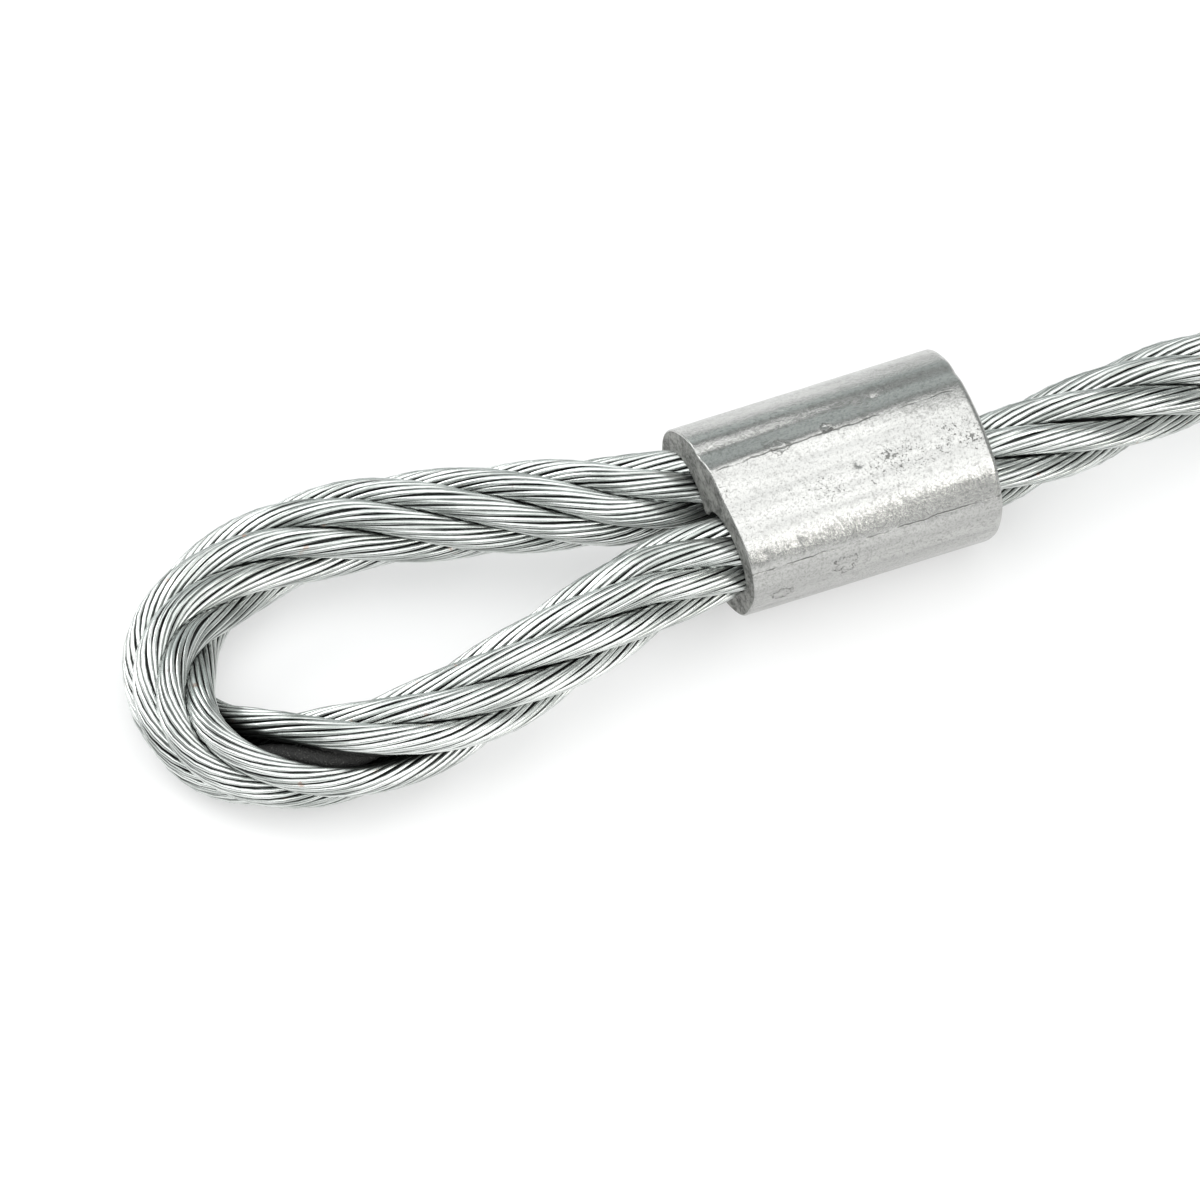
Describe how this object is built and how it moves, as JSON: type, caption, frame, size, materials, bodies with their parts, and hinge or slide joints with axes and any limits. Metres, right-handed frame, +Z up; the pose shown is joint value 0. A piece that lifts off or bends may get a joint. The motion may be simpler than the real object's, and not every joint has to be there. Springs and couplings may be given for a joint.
{
  "type": "wire rope soft eye",
  "caption": "Soft eye of galvanised strand wire rope closed by a pressed aluminium ferrule, with the standing rope put away in a flat tied coil.",
  "frame": {"origin": "on the surface the eye and ferrule lie on, under the middle of their common box", "axes": "+X along the ferrule from the eye towards the standing rope, +Z up out of the eye's plane"},
  "size_m": [0.2554, 0.1585, 0.0204],
  "materials": {
    "galvanised_wire": "bright zinc coated wire with dark gaps",
    "fibre_core": "dark greased fibre",
    "ferrule_aluminium": "pressed, bright, pitted and scratched",
    "tie_wire": "soft annealed wire"
  },
  "bodies": {
    "root": {"eye_strand_1": "galvanised_wire", "eye_strand_2": "galvanised_wire", "eye_strand_3": "galvanised_wire", "eye_strand_4": "galvanised_wire", "eye_strand_5": "galvanised_wire", "eye_strand_6": "galvanised_wire", "eye_core": "fibre_core", "ferrule": "ferrule_aluminium", "standing_rope": "galvanised_wire", "rope_coil": "galvanised_wire", "seizing": "tie_wire", "coil_tie_1": "tie_wire", "coil_tie_2": "tie_wire", "coil_tie_3": "tie_wire"}
  },
  "joints": []
}
